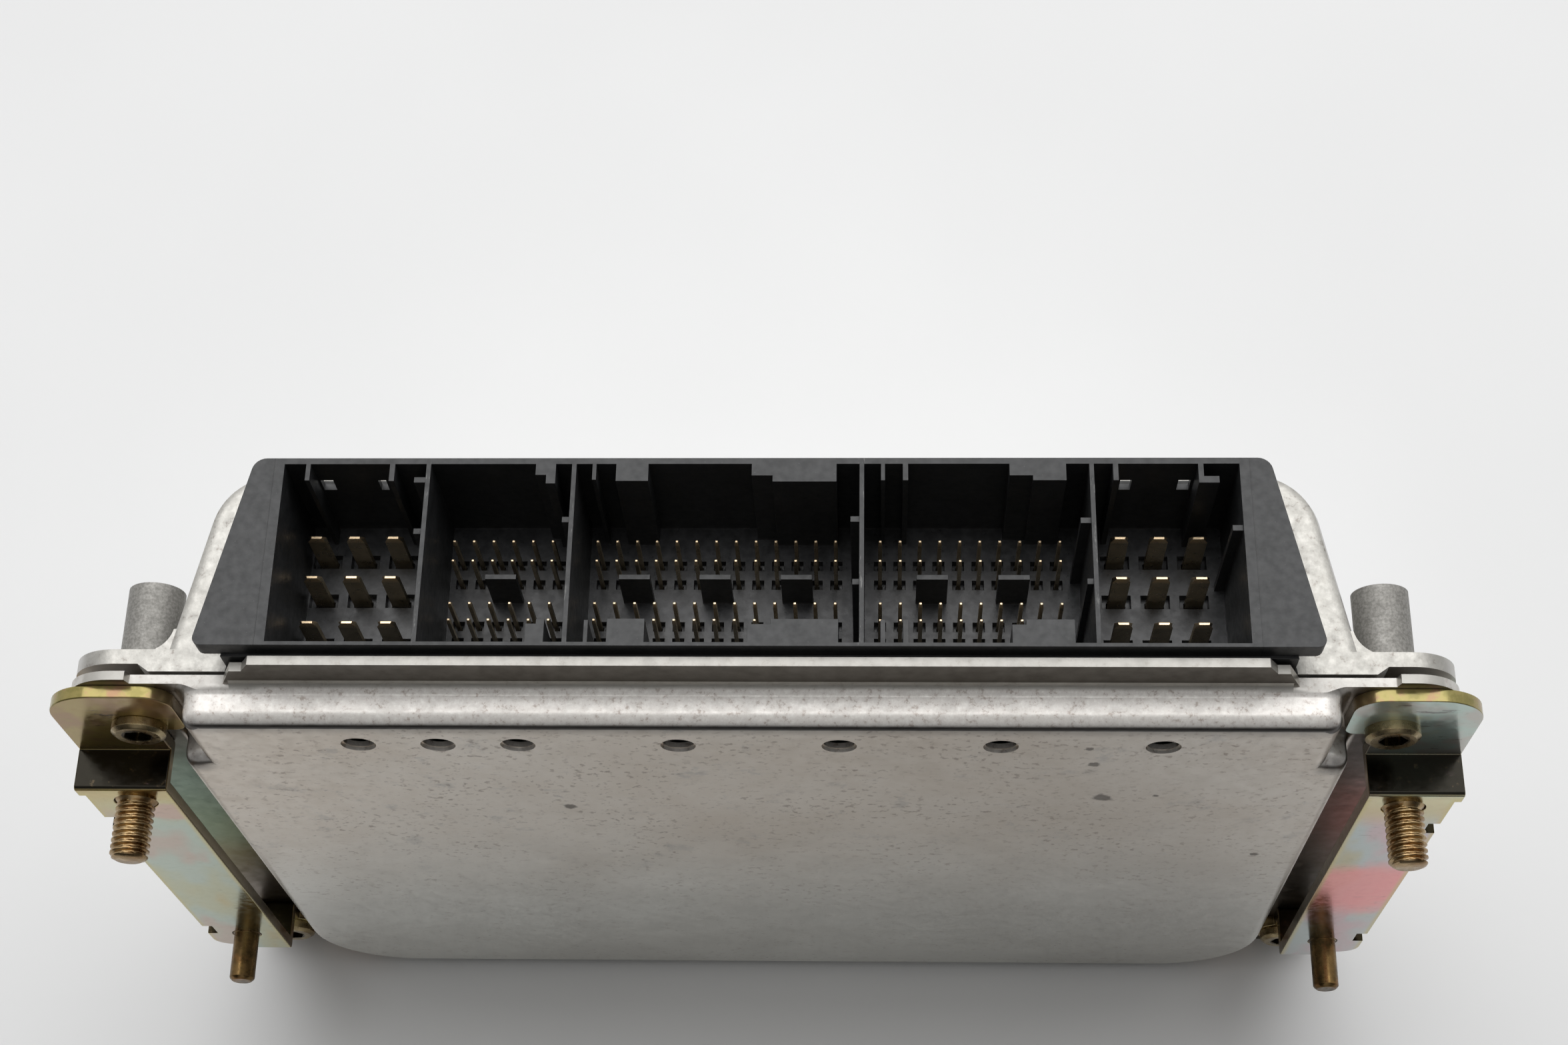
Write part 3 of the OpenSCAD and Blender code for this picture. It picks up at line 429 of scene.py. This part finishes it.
def black_plastic():
    """Black moulding of the header: dust, a seam, worn ridges on its dividers and mottled socket floors."""
    s = Shader("black_plastic", Metallic=0.0)
    tone = s.ramp(s.noise(0.25, 5, 0.6), [(0.3, (0.016, 0.017, 0.018)), (0.75, (0.030, 0.031, 0.033))])
    dust = s.span(s.cells(0.9), 0.10, 0.02)
    tone = s.stain(tone, dust, 0.25, (0.20, 0.20, 0.20))
    seam = s.apart(s.absolute(s.axis(X)), SEAM_X, 0.16, 0.05)
    tone = s.stain(tone, seam, 0.3, (0.006, 0.006, 0.006))
    tone = s.stain(tone, s.spot(RIM_SPOT, 2.2, 0.1), 0.45, (0.009, 0.010, 0.011))
    rim = s.along(Z, RIM - 0.6, RIM - 0.2)
    streak = s.span(s.noise(0.5, 5, 0.75, (3, 0.3, 1), shift=1.0), 0.57, 0.66)
    for x in DIVIDERS:
        ridge = s.apart(s.axis(X), x, 0.7, 0.4)
        tone = s.stain(tone, s.times(ridge, rim, streak), 0.5, (0.30, 0.30, 0.29))
    floors = s.along(Z, RIM - 21.2, RIM - 22.1)
    mottle = s.ramp(s.noise(0.7, 4, 0.6, shift=2.0),
                    [(0.35, (0.020, 0.021, 0.023)), (0.7, (0.060, 0.062, 0.066))])
    s.set("Base Color", s.stain(tone, floors, 0.8, mottle))
    rough = s.span(s.noise(0.8, 5), 0.25, 0.8, 0.36, 0.52)
    s.set("Roughness", s.math("SUBTRACT", rough, s.times(floors, 0.10)))
    s.bump(s.noise(3.0, 4, 0.6), 0.010)
    s.bump(s.times(seam, -1.0), 0.02)
    return s.material


def plate_film(s, tab_stops, strip_stops, patch, shift):
    """Film on the faces of a bracket: one run of colours each on tab and strip, gold at the step, a patch."""
    tab = s.ramp(s.noise(0.09, 3, 0.6, shift=shift), tab_stops)
    strip = s.ramp(s.noise(0.07, 3, 0.55, (1, 1, 0.45), shift=shift + 3.0), strip_stops)
    tone = s.mix(s.along(Z, STEP - 5, STEP), strip, tab)
    bend = s.times(s.along(Z, STEP - 14, STEP - 4), s.along(Z, STEP + 4, STEP + 1))
    tone = s.stain(tone, bend, 0.75, (0.58, 0.49, 0.22))
    (x, z), reach, colour = patch
    tone = s.stain(tone, s.spot((x, STRIP_FACE, z), reach, 0.45), 0.9, colour)
    fringe = s.times(s.apart(s.absolute(s.axis(X)), STRIP_MIDDLE, 5.6, 6.5), s.along(Z, STEP + 2, STEP))
    return s.stain(tone, fringe, 0.7, (0.56, 0.47, 0.19))


def plate_edges(s, tone, inward, shift):
    """Cut edges of a bracket: gold, mottled on top, painted black shade on the step's ledge, brown towards
    the pan.
    """
    edge = s.span(s.absolute(s.facing(Y)), 0.95, 0.6)
    tone = s.stain(tone, edge, 0.85, (0.44, 0.36, 0.17))
    top = s.times(s.faces(Z, 0.1, 0.4), s.along(Z, STEP + 5, STEP + 7))
    top_tone = s.ramp(s.noise(0.35, 4, 0.65, shift=shift),
                      [(0.35, (0.22, 0.19, 0.05)), (0.50, (0.30, 0.25, 0.08)), (0.65, (0.32, 0.18, 0.10))])
    tone = s.stain(tone, top, 0.9, top_tone)
    # Painted shade: the step's ledge is painted near black
    ledge = s.times(s.faces(Z, 0.6, 0.8), s.along(Z, STEP + 6, STEP + 4))
    tone = s.stain(tone, ledge, 0.985, (0.004, 0.0035, 0.0025))
    inner = s.span(s.times(s.facing(X), inward), 0.3, 0.7)
    return s.stain(tone, inner, 0.9, (0.15, 0.105, 0.05))


def zinc_plate(name, inward, tab_stops, strip_stops, patch, shift=0.0):
    """Yellow-passivated zinc: a mirror-like coat whose thin film drifts through pale colours.

    The pan lies inward of the plate: towards +X for 1, towards -X for -1.
    """
    s = Shader(name, Metallic=1.0)
    tone = plate_film(s, tab_stops, strip_stops, patch, shift)
    tone = plate_edges(s, tone, inward, shift)
    dull = s.span(s.noise(0.6, 6, 0.7, shift=2.0), 0.58, 0.75)
    tone = s.stain(tone, dull, 0.35, (0.22, 0.16, 0.09))
    marks = s.times(s.span(s.noise(0.35, 5, 0.75, (0.35, 1, 1.8), shift=8.0), 0.60, 0.66),
                    s.span(s.noise(0.05, 2, shift=1.0), 0.48, 0.60))
    s.set("Base Color", s.stain(tone, marks, 0.6, (0.12, 0.08, 0.09)))
    s.set("Metallic", s.along(Z, STEP, STEP + 5, 1.0, 0.55))
    s.set("Roughness", s.span(s.noise(0.9, 5), 0.3, 0.8, 0.14, 0.26))
    s.bump(s.noise(1.2, 5, 0.6), 0.004)
    return s.material


def zinc_bolt(name, dark, light, rusty, socket_heights=()):
    """Zinc-plated turned steel with some rust, and painted shade in hexagon sockets at given heights."""
    s = Shader(name, Metallic=1.0)
    tone = s.ramp(s.noise(0.25, 5, 0.6), [(0.3, dark), (0.7, light)])
    rust = s.span(s.noise(0.3, 4, shift=4.0), 0.55, 0.7)
    tone = s.stain(tone, rust, rusty, (0.36, 0.17, 0.06))
    # Painted shade inside the hexagon sockets
    for z in socket_heights:
        mirrored = s.add("CombineXYZ", {"X": s.absolute(s.axis(X)), "Z": s.axis(Z)}).outputs[0]
        socket = s.span(s.away(mirrored, (SOCKET_X, 0, z)), 2.5 * MM, 2.2 * MM, 0.0, 0.85)
        tone = s.mix(socket, tone, (0.02, 0.017, 0.012))
    s.set("Base Color", tone)
    s.set("Roughness", s.span(s.noise(1.2, 4), 0.3, 0.8, 0.24, 0.42))
    s.bump(s.noise(2.0, 4), 0.012)
    return s.material


def contact_metal():
    """Brass-coloured contacts with brighter tips."""
    s = Shader("contact_metal", Metallic=0.75)
    stem = s.ramp(s.noise(0.4, 4), [(0.3, (0.42, 0.35, 0.23)), (0.7, (0.56, 0.47, 0.33))])
    tip = s.along(Z, CONTACT_TIP - 1.4, CONTACT_TIP - 0.4)
    s.set("Base Color", s.mix(tip, stem, (0.88, 0.68, 0.44)))
    s.set("Roughness", s.span(s.noise(0.8, 4), 0.3, 0.8, 0.26, 0.40))
    return s.material


def plain_finish(name, colours, grain, roughness, rough_grain, metallic=0.0, detail=4):
    """A quiet finish whose colour and roughness each drift between two values."""
    s = Shader(name, Metallic=metallic)
    dark, light = colours
    s.set("Base Color", s.ramp(s.noise(grain, detail), [(0.3, dark), (0.7, light)]))
    s.set("Roughness", s.span(s.noise(rough_grain, 4), 0.3, 0.8, *roughness))
    return s.material


def rubber():
    return plain_finish("seal_rubber", ((0.008, 0.008, 0.008), (0.02, 0.02, 0.02)), 0.6, (0.5, 0.7), 1.0)


def board_mask():
    return plain_finish("board_green", ((0.012, 0.075, 0.025), (0.02, 0.11, 0.04)), 0.3, (0.3, 0.45), 0.8,
                        detail=5)


def moulded_chip(name="chip_plastic", colour=(0.02, 0.02, 0.022)):
    lighter = tuple(c * 1.6 for c in colour)
    return plain_finish(name, (colour, lighter), 1.0, (0.45, 0.6), 2.0)


def plated_steel():
    return plain_finish("plated_steel", ((0.50, 0.50, 0.49), (0.62, 0.62, 0.60)), 0.5, (0.25, 0.4), 1.5,
                        metallic=1.0)


def world_light():
    """Bright behind and above, dim in front but for one tall card that only reflections show."""
    world = bpy.data.worlds.new("studio")
    scene.world = world
    world.use_nodes = True
    n = Nodes(world.node_tree)
    way = n.add("TexCoord").outputs["Generated"]

    def toward(*direction):
        return n.add("VectorMath", {0: way, 1: direction}, operation="DOT_PRODUCT").outputs["Value"]

    dome = n.span(toward(0, 0.95, 0.31), -0.45, 0.80, FRONT_LEVEL, BACK_LEVEL)
    above = n.span(toward(0, 0, 1), 0.0, 0.14, 0.0, CARD_LEVEL)
    front = n.span(toward(0, -1, 0), -0.20, 0.10)
    narrow = n.span(n.absolute(toward(1, 0, 0)), 0.42, 0.26)
    glossy = n.add("LightPath").outputs["Is Glossy Ray"]
    card = n.times(above, front, narrow, glossy)
    background = n.tree.nodes["Background"]
    background.inputs["Color"].default_value = (1.0, 0.995, 0.985, 1)
    n.tree.links.new(n.math("MAXIMUM", dome, card), background.inputs["Strength"])


def softbox(name, at, aim, size, watts):
    """A rectangular lamp that points at a place."""
    data = bpy.data.lights.new(name, "AREA")
    data.shape = "RECTANGLE"
    data.size, data.size_y = size
    data.energy = watts
    lamp = bpy.data.objects.new(name, data)
    scene.collection.objects.link(lamp)
    lamp.location = at
    lamp.rotation_euler = (Vector(aim) - Vector(at)).to_track_quat("-Z", "Y").to_euler()


def make_floor():
    """White paper under and behind the unit; in front it ends on a dark table, out of the picture."""
    data = bpy.data.meshes.new("floor")
    corners = [(x * FLOOR_HALF, y * FLOOR_HALF, 0) for x, y in ((-1, -1), (1, -1), (1, 1), (-1, 1))]
    data.from_pydata(corners, [], [(0, 1, 2, 3)])
    floor = bpy.data.objects.new("floor", data)
    scene.collection.objects.link(floor)
    s = Shader("floor_paper", Roughness=0.9)
    paper = s.ramp(s.noise(0.01, 2), [(0.3, (0.84, 0.845, 0.85)), (0.7, (0.86, 0.865, 0.87))])
    covered = s.along(Y, PAPER_END, PAPER_END + PAPER_FADE)
    s.set("Base Color", s.mix(covered, (0.03, 0.03, 0.03), paper))
    data.materials.append(s.material)


def stand_in(name, data, node, material):
    """A piece with a given mesh and finish that rides the unit in place of a CAD node."""
    data.materials.clear()
    data.materials.append(material)
    piece = bpy.data.objects.new(name, data)
    scene.collection.objects.link(piece)
    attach(piece, "root")
    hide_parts(node)
    return piece


def soft_edges(node, piece_name, material, width, segments):
    """A piece with a CAD node's form whose sharp edges are lightly rounded, standing in for the node."""
    data = frame["nodes"][node].data.copy()
    data.name = piece_name
    work = bmesh.new()
    work.from_mesh(data)
    bmesh.ops.remove_doubles(work, verts=work.verts, dist=WELD_MM * MM)
    bmesh.ops.dissolve_limit(work, angle_limit=math.radians(FLAT_ANGLE), verts=work.verts, edges=work.edges)
    work.to_mesh(data)
    work.free()
    data.shade_smooth()
    data.set_sharp_from_angle(angle=math.radians(EDGE_ANGLE))
    piece = stand_in(piece_name, data, node, material)
    bevel = piece.modifiers.new("edges", "BEVEL")
    bevel.width = width * MM
    bevel.segments = segments
    bevel.limit_method = "ANGLE"
    bevel.angle_limit = math.radians(EDGE_ANGLE)
    bevel.harden_normals = True
    bevel.use_clamp_overlap = True
    flat = piece.modifiers.new("flat_faces", "WEIGHTED_NORMAL")
    flat.keep_sharp = True
    flat.weight = FLAT_WEIGHT
    return piece


def turned(name, node, material, x, z, rings):
    """A turned piece along Y in place of a CAD node: rings of (y, radius or radius at an angle), in mm."""
    around = TURNED_SIDES
    verts, faces = [], []
    for y, radius in rings:
        for i in range(around):
            turn = i / around
            r = radius(turn) if callable(radius) else radius
            across = x + r * math.cos(turn * math.tau)
            height = z + r * math.sin(turn * math.tau)
            verts.append((across * MM, y * MM, height * MM))
    for k in range(len(rings) - 1):
        for i in range(around):
            j = (i + 1) % around
            faces.append((k * around + i, (k + 1) * around + i, (k + 1) * around + j, k * around + j))
    faces.append(tuple(range(around)))
    faces.append(tuple(range(len(verts) - 1, len(verts) - around - 1, -1)))
    data = bpy.data.meshes.new(name)
    data.from_pydata(verts, [], faces)
    work = bmesh.new()
    work.from_mesh(data)
    bmesh.ops.recalc_face_normals(work, faces=work.faces)
    work.to_mesh(data)
    work.free()
    data.shade_smooth()
    data.set_sharp_from_angle(angle=math.radians(TURNED_ANGLE))
    stand_in(name, data, node, material)


def thread_radius(y, limit):
    """Radius of a screw thread at a place along its axis, as a function of the turn."""
    def radius(turn):
        at = (y / THREAD_PITCH + turn) % 1.0
        rise = min(max((abs(at - 0.5) - ROOT_SHARE) / FLANK_SHARE, 0.0), 1.0)
        return min(THREAD_ROOT + (THREAD_CREST - THREAD_ROOT) * rise, limit)
    return radius


def threaded_stud(side, sign, material):
    """Mounting stud with its screw thread cut as a true helix."""
    back = STRIP_FACE + STRIP_THICK
    rings = [(back + y, radius) for y, radius in HEAD_RINGS]
    rings += [(STRIP_FACE + y, radius) for y, radius in NECK_RINGS]
    for k in range(THREAD_RINGS + 1):
        y = STRIP_FACE - THREAD_START - THREAD_RUN * k / THREAD_RINGS
        rings.append((y, thread_radius(y, CONE_RADIUS + (y - STUD_TIP) * CONE_SLOPE)))
    rings += [(STUD_TIP + y, radius) for y, radius in END_RINGS]
    node = "mounting_stud_" + side
    turned(node + "_thread", node, material, sign * STUD_X, STUD_Z, rings)


def taper_tips(piece, half):
    """Narrow the contacts' tips across their width, as a stamped point has four slopes."""
    data = piece.data
    top = max(v.co.z for v in data.vertices)
    tips = [v for v in data.vertices if v.co.z > top - TIP_BAND * MM]
    for v in tips:
        row = [u for u in tips if abs(u.co.y - v.co.y) < ROW_REACH * MM]
        mates = [u.co.x for u in row if abs(u.co.x - v.co.x) < 2.2 * half * MM]
        middle = (min(mates) + max(mates)) / 2
        v.co.x = middle + (v.co.x - middle) * TIP_SHARE


def paint(material, *nodes):
    """Give CAD nodes that keep their own form a finish."""
    for name in nodes:
        data = frame["nodes"][name].data
        data.materials.clear()
        data.materials.append(material)


make_camera()
world_light()
softbox("back_softbox", at=(0.0, 0.42, 1.15), aim=(0, 0, 0.05), size=(1.6, 0.8), watts=8)
make_floor()

aluminium = sheet_aluminium()
casting = cast_aluminium()
plastic = black_plastic()
gold = zinc_plate("zinc_left", 1, LEFT_TAB, LEFT_STRIP, LEFT_PATCH)
rose = zinc_plate("zinc_right", -1, RIGHT_TAB, RIGHT_STRIP, RIGHT_PATCH, shift=4.0)
screw = zinc_bolt("zinc_screw", (0.22, 0.165, 0.085), (0.42, 0.34, 0.20), 0.15, SOCKET_HEIGHTS)
stud = zinc_bolt("zinc_stud", (0.27, 0.165, 0.075), (0.45, 0.33, 0.18), 0.4)
pin = zinc_bolt("zinc_pin", (0.06, 0.04, 0.018), (0.20, 0.125, 0.05), 0.3)
contact = contact_metal()
chip = moulded_chip()

soft_edges("lid", "lid_casting", casting, width=0.35, segments=3)
soft_edges("base_pan", "base_pressing", aluminium, width=0.25, segments=3)
soft_edges("connector_housing", "header_moulding", plastic, width=0.12, segments=2)
soft_edges("bracket_left", "bracket_left_plate", gold, width=0.22, segments=3)
soft_edges("bracket_right", "bracket_right_plate", rose, width=0.22, segments=3)
for side, sign in SIDES:
    for name, finish in (("bracket_screw_", screw), ("rear_screw_", screw), ("locating_pin_", pin)):
        soft_edges(name + side, name + side + "_turned", finish, width=0.2, segments=3)
    threaded_stud(side, sign, stud)
for name, half in (("power_tabs_left", TAB_HALF), ("power_tabs_right", TAB_HALF), ("pins_24_way", PIN_HALF),
                   ("pins_52_way", PIN_HALF), ("pins_40_way", PIN_HALF)):
    stamped = soft_edges(name, name + "_stamped", contact, width=0.06, segments=1)
    taper_tips(stamped, half)
paint(rubber(), "housing_seal", "connector_seal")
paint(board_mask(), "circuit_board")
paint(chip, "microcontroller", "memory_chip", "driver_chips", "ignition_drivers", "inductors", "regulator",
      "chip_resistors")
paint(moulded_chip("component_sleeve", (0.03, 0.05, 0.12)), "capacitors")
paint(plated_steel(), "board_screws", "crystal")
